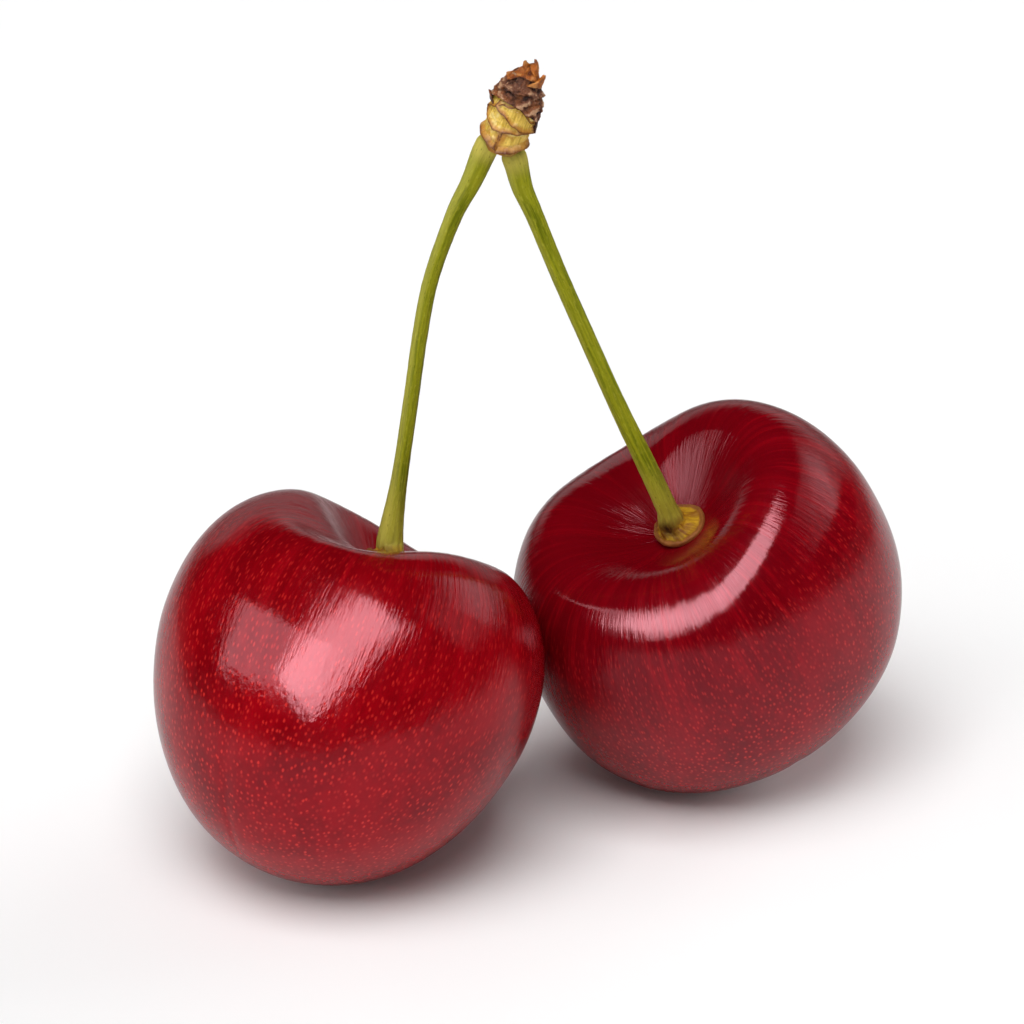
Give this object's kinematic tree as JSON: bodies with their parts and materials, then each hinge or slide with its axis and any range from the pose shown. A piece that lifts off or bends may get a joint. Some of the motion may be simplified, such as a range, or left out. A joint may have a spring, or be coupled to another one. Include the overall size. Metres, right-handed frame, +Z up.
{
  "type": "cherries on stalks",
  "caption": "Ripe dark-red sweet cherries resting side by side, their green stalks rising from the stem hollows and joined at the top by a leafy brown-capped spur.",
  "frame": {"origin": "on the resting surface, below the middle of the pair's bounding box", "axes": "+Z up from the resting surface, +X from the left fruit to the right fruit as seen from the front, +Y to the back"},
  "size_m": [0.0532, 0.0378, 0.0571],
  "materials": {
    "cherry_skin": "glossy waxy skin, deep red with fine paler dots",
    "stalk": "satin yellow-green, finely ridged along its length",
    "spur_wood": "satin yellow-green",
    "sheath": "dry papery tan with brown edges",
    "bud_scale": "matte, wrinkled, dark brown",
    "bud_tip": "matte orange-brown, ragged"
  },
  "bodies": {
    "root": {"cherry_left": "cherry_skin", "cherry_right": "cherry_skin", "stalk_left": "stalk", "stalk_right": "stalk", "spur_body": "spur_wood", "sheath_lower_left": "sheath", "sheath_lower_right": "sheath", "sheath_back": "sheath", "sheath_middle_left": "sheath", "sheath_middle_right": "sheath", "sheath_collar": "sheath", "bud_scale_lower": "bud_scale", "bud_scale_upper": "bud_scale", "flap_left": "bud_scale", "flap_right": "bud_scale", "bud_tip_tall": "bud_tip", "bud_tip_small": "bud_tip"}
  },
  "joints": []
}
